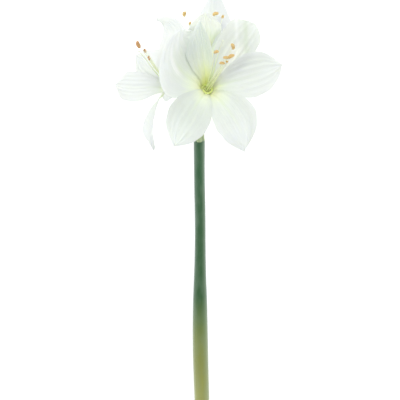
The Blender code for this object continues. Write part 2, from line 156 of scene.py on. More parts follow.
# Filaments: azimuths and circle of their feet, and share of the length and radius along them
FILAMENT_AZIMUTHS, FILAMENT_CIRCLE, FILAMENT_SUNK = np.arange(30, 360, 60), 3 * MM, 1 * MM
FILAMENT_PROFILE = [(0, 1.2), (0.08, 0.8), (0.9, 0.55), (1, 0.275)]
FILAMENT_PULLS, FILAMENT_LEAN = (0.42, 0.3), 0.5
FILAMENT_SIDES, FILAMENT_RINGS = 14, 44

# Anther: bowed, a little flat, and grooved between its two lobes
ANTHER_LENGTH, ANTHER_RADIUS = 10.5 * MM, 2.9 * MM
ANTHER_BOW, ANTHER_FLATNESS, ANTHER_TAPER = 0.14, 0.08, 0.93
GROOVE_WIDTH, GROOVE_DEPTH = 0.17, 0.3
ANTHER_SIDES, ANTHER_RINGS = 40, 30

# Style and the lobes of its stigma: share of the length and radius along each
STYLE_PROFILE = [(0, 1.105), (0.15, 0.85), (1, 0.65)]
STYLE_FROM, STYLE_UNTIL, STYLE_TEXTURE_END = 0.3 * MM, 0.985, 0.9
LOBE_PROFILE = [(0, 0.52), (0.3, 0.5525), (0.85, 0.5525), (1, 0.2275)]
LOBE_LENGTH, LOBE_TURNS, LOBE_RINGS = 2.6 * MM, (20, 140, 260), 12
LOBE_RISE, LOBE_CURL, LOBE_SPREAD, LOBE_OPENING = 0.6, 1.3, 0.62, 1.6

# Lime at the base of a tepal, by share of the green's reach, and paler tones
LIMES = [
    (0, (0.93, 0.97, 0.36)), (0.08, (0.93, 0.98, 0.42)),
    (0.16, (0.9, 0.97, 0.5)), (0.25, (0.86, 0.95, 0.62)),
]
PALE_BASE = (0.99, 1, 0.86)
GREEN_WHITE = (0.8, 0.88, 0.78)

# Veins of a tepal in radians across it, how far they wander, and how softly a band ends
VEIN_TURN, VEIN_WANDER, BAND_FADE = 150, 7, 0.15

# Meshes: points on a fine line, least step between rings, weld, and sharp edges in degrees
FINE_STEPS, LEAST_STEP, WELD = 400, 0.01 * MM, 0.0001 * MM
SHARP_EDGE, TEPAL_SHARP_EDGE = 50, 80

# Directions that no line here runs along
NEARLY_UP = (0.03, 0.01, 1)
ASKEW = (0.2, 0.1, 1)

# Camera and stage, in metres
CAMERA_HEIGHT, HALF_VIEW = 3, 0.29
HALF_FLOOR = 15
LAMPS_AIM_AT = (0, 0.15, 0.1)


def ease(x):
    """A smooth step from 0 to 1."""
    x = np.clip(x, 0, 1)
    return x * x * (3 - 2 * x)


def set_in(share, span):
    """A smooth step from 0 to 1 over a span, given by its start and its length."""
    start, length = span
    return ease((share - start) / length)


def wave(turns):
    """A wave from -1 to 1 that repeats every turn."""
    return np.sin(2 * math.pi * turns)


def unit(v):
    return v / np.linalg.norm(v)


def blended(colour, other, share):
    """A colour turned towards another one by a share."""
    return [x + (y - x) * share for x, y in zip(colour, other)]


def eased(at, places, values):
    """Values at any place, eased from each known place to the next."""
    low = np.clip(np.searchsorted(places, at, side="right") - 1, 0, len(places) - 2)
    share = ease((at - places[low]) / (places[low + 1] - places[low]))
    return values[low] * (1 - share) + values[low + 1] * share


class Bloom:
    """A bloom's own frame and the funnel that its tepals lie on.

    Azimuths are in degrees round the axis. An anther is its place, its direction and its size. The funnel is
    its slope at the rim and the shares of a tepal between which it opens. end_pull says how far the stalklet
    keeps to the axis.
    """

    def __init__(self, name, rim, axis, reference, tepals, anthers, stigma, funnel, end_pull=STALKLET_PULL):
        self.name = name
        self.rim_slope = math.radians(funnel[0])
        self.opens = funnel[1:]
        self.rim = np.array(rim) * MM
        self.axis = unit(axis)
        self.across = unit(reference - self.axis * np.dot(reference, self.axis))
        self.aside = np.cross(self.axis, self.across)
        self.tepals = tepals
        self.ordered = sorted(tepals, key=lambda tepal: tepal["azimuth"])
        anthers = np.array(anthers)
        self.anthers = anthers[:, :3] * MM
        self.anther_turns = anthers[:, 3:6]
        self.anther_sizes = anthers[:, 6]
        self.stigma = np.array(stigma) * MM
        self.end_pull = end_pull

    def outward(self, azimuth):
        turned = np.radians(azimuth)[..., None]
        return np.cos(turned) * self.across + np.sin(turned) * self.aside

    def around(self, key, azimuth):
        """A tepal measure at any azimuth, eased from one tepal to the next."""
        known = self.ordered[-1:] + self.ordered + self.ordered[:1]
        places, values = np.array([(tepal["azimuth"], tepal[key]) for tepal in known]).T
        places[[0, -1]] += (-360, 360)
        return eased(np.mod(azimuth, 360), places, values)

    def meridian(self, distance, azimuth):
        """Radius, height and slope of the funnel, a distance up from the rim."""
        length = self.around("length", azimuth) * MM
        flare = np.radians(self.around("flare", azimuth))
        tip = np.radians(self.around("tip", azimuth))

        def slope(at):
            share = at / length
            opening = ease((share - self.opens[0]) / (self.opens[1] - self.opens[0]))
            turning = np.clip((share - TIP_FROM) / (1 - TIP_FROM), 0, TIP_LIMIT) ** TIP_CURVE
            return self.rim_slope + (flare - self.rim_slope) * opening + (tip - flare) * turning

        radius, height = RIM_RADIUS, 0
        step = distance / MERIDIAN_STEPS
        for i in range(MERIDIAN_STEPS):
            angle = slope(step * (i + 0.5))
            radius = radius + np.sin(angle) * step
            height = height + np.cos(angle) * step
        return radius, height, slope(distance)

    def place(self, radius, height, azimuth):
        return self.rim + radius[..., None] * self.outward(azimuth) + height[..., None] * self.axis


def half_width(share, width, blunt):
    """Half-width of a tepal at a share of its length. blunt keeps it broad towards the tip."""
    inner = 1 - (np.clip(WIDEST_AT - share, 0, 1) / WIDEST_AT) ** INNER_CURVE
    outer = 1 - (np.clip(share - WIDEST_AT, 0, 1) / (1 - WIDEST_AT)) ** blunt
    claw = CLAW_HALF_WIDTH * (1 - set_in(share, CLAW_SPAN))
    blade = width / 2 * inner * outer * set_in(share, BLADE_SPAN)
    return np.maximum(claw + blade, TIP_HALF_WIDTH)


def margin_wave(share, across, phase, settings):
    """A wave along a tepal that differs between its two sides."""
    strength, count, shift, lag = settings
    return strength * wave(count * share + shift * phase + lag * np.sign(across))


def tepal_surface(bloom, tepal, share, across, lift):
    """Points of a tepal, by share of its length and from -1 to 1 across it, lifted off its middle."""
    phase = tepal["azimuth"] / 90
    distance = share * tepal["length"] * MM
    azimuth = tepal["azimuth"] + tepal["bend"] * share ** 2 + tepal["sway"] * 4 * share * (1 - share)
    radius, _, slope = bloom.meridian(distance, azimuth)

    # Reach sideways, part of it turned off the funnel by the twist
    twist = math.radians(tepal["twist"]) * set_in(share, TWIST_SPAN)
    notch = 1 - NOTCH_WAVE[0] - margin_wave(share, across, phase, NOTCH_WAVE)
    gain = np.where(across < 0, *tepal["gains"]) * set_in(share, GAIN_SPAN)
    reach = across * half_width(share, tepal["width"] * MM, tepal["blunt"]) * (1 + gain) * notch
    tilted = reach * np.sin(twist)
    reach = reach * np.cos(twist)

    # The claw wraps round the throat, and the blade runs straight across
    straight = set_in(share, STRAIGHT_SPAN)
    in_claw = CLAW_HALF_ANGLE * np.tanh(reach / radius / CLAW_HALF_ANGLE)
    turn = np.arctan2(reach, radius) * straight + in_claw * (1 - straight)
    along = distance + straight * radius * (1 / np.cos(turn) - 1) / np.maximum(np.sin(slope), LEAST_SPREAD)

    # Offset from the funnel: layer among the neighbours, rolled edges, keel and waves
    left, right = tepal["edges"]
    layer = LAYER_AT_RIM + (LAYER_OUTSIDE - LAYER_AT_RIM) * set_in(share, LAYER_SPAN)
    offset = layer * ((1 - across) / 2 * left + (1 + across) / 2 * right)
    offset = offset - tepal["roll"] * MM * across ** 2 * set_in(share, ROLL_SPAN)
    keel = KEEL_DEPTH * np.exp(-(across / KEEL_WIDTH) ** 2) * set_in(share, KEEL_SPAN)
    ruffle = RUFFLE_HEIGHT * wave(RUFFLES * share + phase) * np.abs(across) ** 3
    offset = offset + tilted - keel + ruffle * set_in(share, RUFFLE_SPAN)

    # Finer relief: pleats along the blade and frills at its margins
    blade = set_in(share, PLEAT_SPAN) * set_in(1 - share, PLEAT_END_SPAN)
    wander = PLEAT_WANDER * np.sin(PLEAT_WAVE * share + phase)
    pleats = np.cos(2 * math.pi * (PLEATS * across + wander)) * (1 - np.abs(across) ** 3)
    frills = sum(margin_wave(share, across, phase, settings) for settings in FRILL_WAVES) * across ** 4
    offset = offset + PLEAT_HEIGHT * pleats * blade
    offset = offset + FRILL_HEIGHT * frills * set_in(share, FRILL_SPAN) + lift

    turned = azimuth + np.degrees(turn)
    radius, height, slope = bloom.meridian(along, turned)
    return bloom.place(radius - offset * np.cos(slope), height + offset * np.sin(slope), turned)


def drop_to_table(share, inner, outer):
    """Bend a tepal down, more towards its tip, until it meets the table."""
    outward = share > 0.5
    lowest = min((grid[..., 2][outward] / share[outward] ** 2).min() for grid in (inner, outer))
    for grid in (inner, outer):
        grid[..., 2] -= lowest * share ** 2


def smooth_line(knots, count):
    """Points on a smooth curve through knots."""
    spans = len(knots) - 1
    padded = np.vstack([2 * knots[0] - knots[1], knots, 2 * knots[-1] - knots[-2]])
    points = []
    for at in np.linspace(0, spans, count):
        i = min(int(at), spans - 1)
        t = at - i
        p0, p1, p2, p3 = padded[i:i + 4]
        cubic = 3 * p1 - p0 - 3 * p2 + p3
        square = 2 * p0 - 5 * p1 + 4 * p2 - p3
        points.append((2 * p1 + (p2 - p0) * t + square * t ** 2 + cubic * t ** 3) / 2)
    return np.array(points)


def pulled_line(start, start_pull, end, end_pull):
    """A curve that leaves its start along one pull and reaches its end along another."""
    t = np.linspace(0, 1, FINE_STEPS)[:, None]
    first = start + start_pull
    second = end - end_pull
    return (1 - t) ** 3 * start + 3 * (1 - t) ** 2 * t * first + 3 * (1 - t) * t ** 2 * second + t ** 3 * end


def shared_out(line, shares):
    """Points at shares of a fine line's length, and its directions there."""
    travelled = np.concatenate([[0], np.cumsum(np.linalg.norm(np.diff(line, axis=0), axis=1))])
    places = shares * travelled[-1]
    return [
        np.stack([np.interp(places, travelled, column) for column in values.T], axis=1)
        for values in (line, np.gradient(line, axis=0))
    ]


def ring_angles(sides):
    return 2 * math.pi * (np.arange(sides) + 0.5) / sides


def tube_rings(points, directions, radii, sides, up=NEARLY_UP):
    """Rings round a line, square to its directions. Radii may differ round a ring."""
    radii = np.broadcast_to(np.asarray(radii).reshape(len(points), -1), (len(points), sides))
    angles = ring_angles(sides)
    rings = []
    for point, direction, radius in zip(points, directions, radii):
        direction = unit(direction)
        up = unit(up - direction * np.dot(up, direction))
        side = np.cross(direction, up)
        spokes = np.outer(np.cos(angles), up) + np.outer(np.sin(angles), side)
        rings.append(point + spokes * radius[:, None])
    return np.array(rings)


def add_object(name, data):
    item = bpy.data.objects.new(name, data)
    bpy.context.scene.collection.objects.link(item)
    return item


class Body:
    """Corners, faces, texture places and materials of one piece."""

    def __init__(self):
        self.corners, self.faces, self.places, self.skins = [], [], [], []

    def add_faces(self, faces, places, skin):
        self.faces += faces
        self.places += places
        self.skins += [skin] * len(faces)

    def add_sheet(self, inner, outer):
        """A closed blade between two grids of points, with texture across and along it."""
        rows, columns = inner.shape[:2]
        start = len(self.corners)
        back = rows * columns
        self.corners += inner.reshape(-1, 3).tolist() + outer.reshape(-1, 3).tolist()
        index = np.arange(back).reshape(rows, columns)
        a, b = index[:-1, :-1].ravel(), index[:-1, 1:].ravel()
        c, d = index[1:, 1:].ravel(), index[1:, :-1].ravel()
        edge = np.concatenate([index[0, :-1], index[:-1, -1], index[-1, :0:-1], index[:0:-1, 0]])
        after = np.roll(edge, -1)
        quads = np.vstack([
            np.stack([a, b, c, d], axis=1),
            np.stack([d, c, b, a], axis=1) + back,
            np.stack([after, edge, edge + back, after + back], axis=1),
        ])
        on_sheet = quads % back
        u = on_sheet % columns / (columns - 1)
        v = on_sheet // columns / (rows - 1)
        self.add_faces((quads + start).tolist(), np.stack([u, v], axis=2).tolist(), 0)

    def add_tube(self, rings, skin=0, along=(0, 1), closed=(True, True)):
        """A tube through rings of points, with texture round and along it."""
        count, sides = rings.shape[:2]
        start = len(self.corners)
        self.corners += rings.reshape(-1, 3).tolist()
        steps = np.linalg.norm(np.diff(rings.mean(axis=1), axis=0), axis=1) + LEAST_STEP
        travelled = np.concatenate([[0], np.cumsum(steps)])
        v = along[0] + (along[1] - along[0]) * travelled / travelled[-1]
        faces, places = [], []
        for i in range(count - 1):
            for k in range(sides):
                a = start + i * sides + k
                b = start + i * sides + (k + 1) % sides
                faces.append((a, b, b + sides, a + sides))
                low, high = k / sides, (k + 1) / sides
                places.append(((low, v[i]), (high, v[i]), (high, v[i + 1]), (low, v[i + 1])))
        last = start + (count - 1) * sides
        if closed[0]:
            faces.append(tuple(range(start + sides - 1, start - 1, -1)))
            places.append([(0.5, v[0])] * sides)
        if closed[1]:
            faces.append(tuple(range(last, last + sides)))
            places.append([(0.5, v[-1])] * sides)
        self.add_faces(faces, places, skin)

    def make(self, name, materials, node, slot, sharp=SHARP_EDGE):
        """Finish the piece, riding with the stem in place of a CAD node."""
        mesh = bpy.data.meshes.new(name)
        mesh.from_pydata(self.corners, [], self.faces)
        layer = mesh.uv_layers.new(name="UVMap")
        flat = [value for face in self.places for place in face for value in place]
        layer.uv.foreach_set("vector", flat)
        mesh.polygons.foreach_set("material_index", self.skins)
        work = bmesh.new()
        work.from_mesh(mesh)
        bmesh.ops.remove_doubles(work, verts=work.verts, dist=WELD)
        bmesh.ops.recalc_face_normals(work, faces=work.faces)
        work.to_mesh(mesh)
        work.free()
        mesh.shade_smooth()
        mesh.set_sharp_from_angle(angle=math.radians(sharp))
        for material in materials:
            mesh.materials.append(material)
        item = add_object(name, mesh)
        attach(item, "root")
        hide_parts(node)


class Paint:
    """A procedural material, with short ways to add and join its nodes."""

    def __init__(self, name):
        self.material = bpy.data.materials.new(name)
        self.material.use_nodes = True
        self.tree = self.material.node_tree
        self.shader = self.tree.nodes["Principled BSDF"]
        self.uv = self.node("TexCoord", {}).outputs["UV"]
        self.u, self.v, _ = self.node("SeparateXYZ", {0: self.uv}).outputs

    def put(self, socket, value):
        """Join a socket to another one, or set its value."""
        if isinstance(value, bpy.types.NodeSocket):
            self.tree.links.new(value, socket)
        else:
            socket.default_value = value

    def node(self, kind, inputs, **settings):
        """A new node with its settings, and its inputs joined or set."""
        node = self.tree.nodes.new("ShaderNode" + kind)
        for key, value in settings.items():
            setattr(node, key, value)
        for key, value in inputs.items():
            self.put(node.inputs[key], value)
        return node

    def math(self, operation, a, b=0):
        return self.node("Math", {0: a, 1: b}, operation=operation).outputs[0]

    def product(self, a, b):
        return self.math("MULTIPLY", a, b)

    def total(self, *terms):
        """Sum of value times weight, over pairs of the two."""
        result = 0
        for value, weight in terms:
            result = self.math("ADD", self.product(value, weight), result)
        return result

    def stretched(self, across, along):
        return self.node("Mapping", {"Vector": self.uv, "Scale": (across, along, 1)}).outputs[0]

    def noise(self, across, along, detail=3, seed=0):
        """Noise from 0 to 1, with its average near 0.5."""
        inputs = {"Vector": self.stretched(across, along), "W": seed, "Scale": 1, "Detail": detail}
        return self.node("TexNoise", inputs, noise_dimensions="4D").outputs[0]

    def grains(self, across, along):
        """Cells, from 0 at their middles to 1 at their borders."""
        return self.node("TexVoronoi", {"Vector": self.stretched(across, along), "Scale": 1}).outputs[0]

    def between(self, value, low, high):
        """Share of the way from low to high, eased and kept from 0 to 1."""
        inputs = {"Value": value, "From Min": low, "From Max": high}
        return self.node("MapRange", inputs, interpolation_type="SMOOTHSTEP").outputs["Result"]

    def ramp(self, value, stops):
        """A colour that runs through stops, each a place from 0 to 1 and its colour."""
        node = self.node("ValToRGB", {0: value})
        elements = node.color_ramp.elements
        while len(elements) < len(stops):
            elements.new(1)
        for element, (place, colour) in zip(elements, stops):
            element.position = place
            element.color = (*colour, 1)
        return node.outputs[0]

    def tinted(self, colour, mask, strength, tint):
        """A colour turned towards a tint, by a mask times a strength."""
        inputs = {0: self.product(mask, strength), 6: colour, 7: (*tint, 1)}
        return self.node("Mix", inputs, data_type="RGBA").outputs[2]

    def adjust(self, group, **values):
        """Set the inputs of one group of the shader."""
        for name, value in values.items():
            self.shader.inputs[group + " " + name].default_value = value

    def finish(self, colour, pattern, weight, least, height, depth, specular=0.5):
        """Join the colour, a roughness with a pattern over its least, and a relief in metres."""
        relief = self.node("Bump", {"Distance": depth, "Height": height}).outputs[0]
        rough = self.total((pattern, weight), (1, least))
        values = {"Base Color": colour, "Roughness": rough, "Normal": relief, "Specular IOR Level": specular}
        for name, value in values.items():
            self.put(self.shader.inputs[name], value)
        return self.material


def tepal_material(name, reach, white, vein_green, tip=1, bands=(), base_softness=0.4):
    """White petal, lime at its base. reach says how far the green runs up it; tip scales its white towards
    the end, painted light above 1 and painted shade below 1.

    Each band is a soft streak of painted shade where its colour is darker and of painted light where it is
    paler:
    its middle across the base, its shift by the tip, its half width, where it starts and ends, its strength
    and its colour. base_softness turns the lime paler.
    """
    paint = Paint(name)
    off_middle = paint.math("ABSOLUTE", paint.total((paint.u, 2), (1, -1)))
    streaks = paint.noise(14, 1.6, seed=1)
    mottle = paint.noise(5, 7, seed=2)
    wavering = ((off_middle, 0.1), (streaks, 0.16), (mottle, 0.08), (1, -0.17))
    colour = paint.ramp(paint.total((paint.v, 1 / reach), *wavering), [
        *((place, blended(lime, PALE_BASE, base_softness)) for place, lime in LIMES),
        (0.37, (0.82, 0.9, 0.74)),
        (0.52, blended(white, GREEN_WHITE, 0.4)),
        (0.8, white),
    ])

    # Veins from base to tip, and a broader green one along the midrib
    wander = paint.noise(4, 3, seed=3)
    lines = paint.math("SINE", paint.total((paint.u, VEIN_TURN), (wander, VEIN_WANDER)))
    veins = paint.between(lines, 0.2, 1)
    fading = paint.between(paint.v, 1, 0.1)
    rib = paint.between(off_middle, 0.11, 0)
    for lines, strength in ((veins, 0.12), (rib, 0.26)):
        colour = paint.tinted(colour, lines, paint.total((fading, strength), (1, 0.02)), vein_green)

    # Paler streaks, the end scaled by tip as painted light and shade, and the bands of painted shade and
    # painted light
    pale = paint.between(paint.noise(16, 3, seed=5), 0.5, 0.75)
    colour = paint.tinted(colour, pale, 0.3, [min(1, 1.05 * value) for value in white])
    # Towards the end the white is scaled by tip: painted light on tips that turn over into shade
    colour = paint.tinted(colour, paint.between(paint.v, 0.5, 0.98), 0.75, [tip * value for value in white])
    # Bands: streaks of painted shade and painted light, one of them also carrying the green of a fold
    for middle, drift, half_wide, start, end, strength, tint in bands:
        place = paint.total((paint.u, 1), (paint.v, -drift), (streaks, 0.1), (1, -middle))
        mask = paint.between(paint.math("ABSOLUTE", place), half_wide, 0)
        mask = paint.product(mask, paint.between(paint.v, start, start + BAND_FADE))
        mask = paint.product(mask, paint.between(paint.v, end, end - BAND_FADE))
        colour = paint.tinted(colour, mask, strength, tint)

    # Relief fades towards the tip, where the texture is squeezed
    cells = paint.product(paint.grains(130, 210), paint.between(paint.v, 0.85, 0.45))
    grooves = paint.product(veins, paint.between(paint.v, 1.02, 0.72))
    height = paint.total((grooves, -0.5), (rib, -0.6), (streaks, 0.8), (cells, 0.1))
    paint.adjust("Subsurface", Weight=0.5, Radius=(1, 1, 0.8), Scale=0.0016)
    return paint.finish(colour, mottle, 0.14, 0.42, height, 0.00022, specular=0.3)


def petal_materials():
    """Petal materials by look: lighter and darker copies of one white petal, with painted light and shade in
    their whites, tips and bands.
    """
    looks = {
        # Reach, white, vein green, tip, bands, base softness. Whites and tips differ from look to look as
        # painted light and shade
        "white": (0.75, (0.765, 0.81, 0.775), (0.66, 0.78, 0.5), 1.14, [
            # Grey band along one edge: painted shade
            (0.88, 0, 0.2, 0.3, 1.05, 0.35, (0.64, 0.68, 0.65)),
        ]),
        "right": (0.56, (0.775, 0.82, 0.785), (0.68, 0.8, 0.56), 1.08, [
            # Grey band along the edge under the upper right tepal: painted shadow
            (0.88, 0, 0.22, 0.25, 0.95, 0.34, (0.62, 0.66, 0.63)),
            # Paler band at the base: painted light in the throat
            (0.85, 0, 0.35, 0, 0.4, 0.6, (0.97, 1, 0.84)),
        ]),
        # Darker copy of the white for the lower left tepal: painted shade
        "shaded": (0.76, (0.68, 0.73, 0.69), (0.62, 0.74, 0.48), 1.24, [
            # Grey band along one edge: painted shade
            (0.12, 0, 0.25, 0.3, 0.95, 0.38, (0.58, 0.62, 0.6)),
        ]),
        "olive_shaded": (0.9, (0.725, 0.77, 0.735), (0.66, 0.76, 0.48), 1.22, [
            # Olive streak along a fold: partly its own green, partly painted shade
            (0.86, -0.6, 0.12, 0.42, 0.88, 0.14, (0.64, 0.71, 0.46)),
            # Pale streak beside it: painted highlight on the fold
            (0.6, 0.02, 0.05, 0.45, 0.92, 0.55, (0.95, 0.97, 0.94)),
            # Grey-blue band along one side: painted shade
            (0.9, -0.05, 0.22, 0.35, 1.1, 0.3, (0.7, 0.72, 0.76)),
        ]),
        "painted_fold": (0.6, (0.72, 0.765, 0.715), (0.74, 0.84, 0.64), 1.14, [
            # Slanted grey-green streak: painted shade in a fold
            (-0.78, 1.8, 0.13, 0.48, 1.02, 0.5, (0.62, 0.7, 0.58)),
            # Pale streak beside it: painted highlight on the fold
            (-0.5, 1.8, 0.1, 0.48, 1.05, 0.45, (0.94, 0.97, 0.94)),
            # Paler band low on the blade: painted light where the stamens shade it
            (0.5, 0, 0.4, 0.1, 0.66, 0.75, (0.97, 0.99, 0.9)),
        ]),
        # Greener, darker white for the top tepal: partly its own green, partly painted shade
        "green": (1.22, (0.69, 0.765, 0.7), (0.62, 0.76, 0.5), 1.24, [
            # Darker green-grey band down one half: painted shade
            (0.22, 0, 0.32, 0.35, 1.05, 0.22, (0.57, 0.69, 0.54)),
        ], 0),
        # Tips painted much lighter: painted light on tips that turn over into shade
        "bright": (0.8, (0.735, 0.775, 0.75), (0.68, 0.78, 0.54), 1.28),
        # Tips painted a little darker: painted shade
        "plain": (0.5, (0.82, 0.86, 0.83), (0.74, 0.84, 0.64), 0.92),
        # Darker copy of the white for the far tepal, strongly lit by the lamps: painted shade
        "far": (0.9, (0.74, 0.78, 0.76), (0.66, 0.76, 0.54)),
        # Near-white copy, with lime far up it: painted light on a steep tepal in shade
        "lime": (1.2, (0.94, 0.98, 0.89), (0.76, 0.88, 0.52), 1.02),
    }
    return {look: tepal_material("petal_" + look, *values) for look, values in looks.items()}


def stalk_material():
    """Deep green skin with a grey bloom, paler and more yellow towards the cut end; its right side is
    lighter, painted light.
    """
    paint = Paint("stalk")
    streaks = paint.noise(26, 5, detail=4, seed=1)
    clouds = paint.noise(3, 14, seed=2)
    upward = paint.total((paint.v, 1), (streaks, 0.04), (clouds, 0.05), (1, -0.045))
    colour = paint.ramp(upward, [
        (0, (0.39, 0.41, 0.1)), (0.14, (0.28, 0.302, 0.055)), (0.24, (0.22, 0.262, 0.046)),
        (0.32, (0.12, 0.192, 0.038)), (0.42, (0.01, 0.09, 0.01)), (0.9, (0.011, 0.093, 0.022)),
        (1, (0.022, 0.11, 0.032)),
    ])
    fibres = paint.noise(120, 7, detail=2, seed=3)
    waxy = paint.between(clouds, 0.42, 0.7)
    painted_lit_side = paint.between(paint.math("SINE", paint.product(paint.u, 2 * math.pi)), 0.05, 0.85)
    specks = paint.between(paint.grains(60, 260), 0.1, 0.02)
    colour = paint.tinted(colour, paint.between(fibres, 0.45, 0.8), 0.2, (0.16, 0.26, 0.13))
    colour = paint.tinted(colour, waxy, 0.14, (0.3, 0.38, 0.3))
    # Painted light: the right side tinted lighter green, as if lit from the right
    colour = paint.tinted(colour, painted_lit_side, 0.26, (0.24, 0.36, 0.2))
    colour = paint.tinted(colour, specks, 0.25, (0.2, 0.26, 0.12))
    height = paint.total((streaks, 0.6), (fibres, 0.5))
    paint.adjust("Sheen", Weight=0.6, Roughness=0.5, Tint=(0.82, 0.9, 0.95, 1))
    return paint.finish(colour, clouds, 0.25, 0.3, height, 0.0004, specular=0.75)


def flesh_material():
    """Pale wet flesh of the cut end and the hollow inside the stalk."""
    paint = Paint("cut_flesh")
    strands = paint.noise(70, 4, seed=4)
    dots = paint.between(paint.grains(44, 9), 0.35, 0.15)
    tones = [(0.3, (0.36, 0.44, 0.16)), (0.55, (0.52, 0.58, 0.28)), (0.75, (0.66, 0.69, 0.42))]
    colour = paint.ramp(strands, tones)
    colour = paint.tinted(colour, dots, 0.5, (0.3, 0.36, 0.13))
    height = paint.total((strands, 0.7), (dots, -0.5))
    return paint.finish(colour, strands, 0.3, 0.22, height, 0.0005)


def stalklet_material():
    """Light green skin: greyer at the root, lime on the ovary and tube, and bright in the throat."""
    paint = Paint("stalklet")
    streaks = paint.noise(20, 5, seed=1)
    clouds = paint.noise(5, 9, seed=2)
    upward = paint.total((paint.v, 1), (streaks, 0.03), (clouds, 0.03), (1, -0.03))
    colour = paint.ramp(upward, [
        (0, (0.46, 0.56, 0.32)), (0.25, (0.59, 0.7, 0.4)), (0.5, (0.58, 0.71, 0.38)),
        (0.62, (0.65, 0.75, 0.43)), (0.72, (0.68, 0.77, 0.46)), (0.78, (0.72, 0.81, 0.46)),
        (0.82, (0.93, 0.99, 0.44)), (0.87, (0.87, 0.97, 0.36)), (0.91, (0.84, 0.95, 0.33)),
        (0.95, (0.9, 0.97, 0.46)), (1, (0.93, 0.99, 0.5)),
    ])
    fibres = paint.noise(80, 6, detail=2, seed=3)
    colour = paint.tinted(colour, paint.between(fibres, 0.45, 0.8), 0.25, (0.46, 0.56, 0.3))
    height = paint.total((streaks, 0.6), (fibres, 0.4))
    paint.adjust("Subsurface", Weight=0.15, Radius=(0.7, 1, 0.4), Scale=0.0015)
    return paint.finish(colour, clouds, 0.2, 0.3, height, 0.0003)


def filament_material(name, base, middle, end):
    """Smooth thread, green at its base and white further on."""
    paint = Paint(name)
    streaks = paint.noise(5, 6, seed=1)
    upward = paint.total((paint.v, 1), (streaks, 0.1), (1, -0.05))
    colour = paint.ramp(upward, [(0, base), (0.35, middle), (0.85, end)])
    lines = paint.noise(16, 9, detail=2, seed=2)
    colour = paint.tinted(colour, paint.between(lines, 0.5, 0.8), 0.3, (0.62, 0.72, 0.38))
    paint.adjust("Subsurface", Weight=0.2, Radius=(1, 1, 0.6), Scale=0.0008)
    return paint.finish(colour, streaks, 0.2, 0.28, lines, 0.0001)


def anther_material(name, tint):
    """Golden pollen in loose grains over a tan skin, tinted browner as it ripens."""
    paint = Paint(name)
    clumps = paint.noise(7, 9, detail=4, seed=1)
    pollen = paint.grains(34, 46)
    tones = [
        (0.2, (1, 0.86, 0.54)), (0.45, (0.98, 0.76, 0.38)),
        (0.65, (0.93, 0.64, 0.25)), (0.85, (0.74, 0.46, 0.155)),
    ]
    stops = [(place, [x * y for x, y in zip(tone, tint)]) for place, tone in tones]
    colour = paint.ramp(paint.total((clumps, 0.7), (pollen, 0.45)), stops)
    height = paint.total((pollen, -1), (clumps, 0.8))
    return paint.finish(colour, clumps, 0.2, 0.75, height, 0.0005, specular=0.2)


def floor_material():
    """Pale table, lit a little from within so that shadows stay faint."""
    paint = Paint("floor")
    fine = paint.noise(900, 900, detail=2, seed=1)
    colour = paint.ramp(fine, [(0.3, (0.66, 0.66, 0.66)), (0.7, (0.69, 0.69, 0.69))])
    paint.adjust("Emission", Color=(1, 1, 1, 1), Strength=0.62)
    return paint.finish(colour, fine, 0.1, 0.6, fine, 0.0002, specular=0.2)


def stalk_line(count):
    """Shares of the stalk's length, and its places and directions there."""
    shares = np.linspace(0, 1, count)
    points, directions = shared_out(smooth_line(np.array(STALK_LINE) * MM, STALK_STEPS), shares)
    return shares, points, directions


def cad_stalk():
    """Rings of the CAD stalk before it is set down, its top and its direction there."""
    shares, points, directions = stalk_line(STALK_CAD_RINGS)
    radii = np.interp(shares, np.linspace(0, 1, len(STALK_RADII)), STALK_RADII) * MM
    return tube_rings(points, directions, radii, STALK_CAD_SIDES), points[-1], unit(directions[-1])


def make_stalk(shift, materials):
    """The stalk. Returns its top's centre and direction."""
    cad, top, direction = cad_stalk()
    drop = cad[..., 2].min()

    # Skin, a little inside the CAD solid
    shares, points, directions = stalk_line(STALK_RINGS)
    points = points + shift - (0, 0, drop)
    radii = smooth_line(np.array(STALK_RADII)[:, None] * MM, STALK_RINGS)[:, 0]
    angles = ring_angles(STALK_SIDES)
    away = shares[:, None]
    ribs = 0.5 + 0.5 * np.cos(RIBS * angles + RIB_TWIST * away)
    flats = 0.5 + 0.5 * np.cos(2 * angles - FLAT_TWIST * away + FLAT_TURN)
    swells = 0.5 + 0.5 * np.sin(SWELLS * away + np.cos(angles))
    skin = radii[:, None] * (1 - RIB_DEPTH * ribs - FLAT_DEPTH * flats - SWELL_DEPTH * swells)
    rings = tube_rings(points, directions, skin, STALK_SIDES)

    # Rounded edge and low dome of the top
    crown = []
    for turn in np.radians(TOP_TURNS):
        crown.append((TOP_ROUNDING * (math.sin(turn) - 1), skin[-1:] - TOP_ROUNDING * (1 - math.cos(turn))))
    for share in TOP_SHARES:
        crown.append((TOP_DOME * (1 - share), skin[-1:] * share))
    for i, (lift, reach) in enumerate(crown):
        crown[i] = tube_rings([points[-1] + direction * lift], [direction], reach, STALK_SIDES)
    length = np.linalg.norm(points[-1] - points[-2])
    keep = STALK_RINGS - int(math.ceil(TOP_ROUNDING / length))
    body = Body()
    body.add_tube(np.concatenate([rings[:keep], *crown]), closed=(False, True))

    # Cut face and the hollow behind it
    edge = rings[0]
    middle = edge.mean(axis=0)
    ahead = unit(directions[0])
    faces = [edge]
    for centre, profile in ((middle, CUT_FACE), (points[0], HOLLOW)):
        for share, depth in profile:
            faces.append(centre + (edge - middle) * share + ahead * depth * MM)
    body.add_tube(np.array(faces[::-1]), skin=1, closed=(True, False))
    body.make("stalk_skin", materials, "stalk", "stalk")
    return top - (0, 0, drop), direction


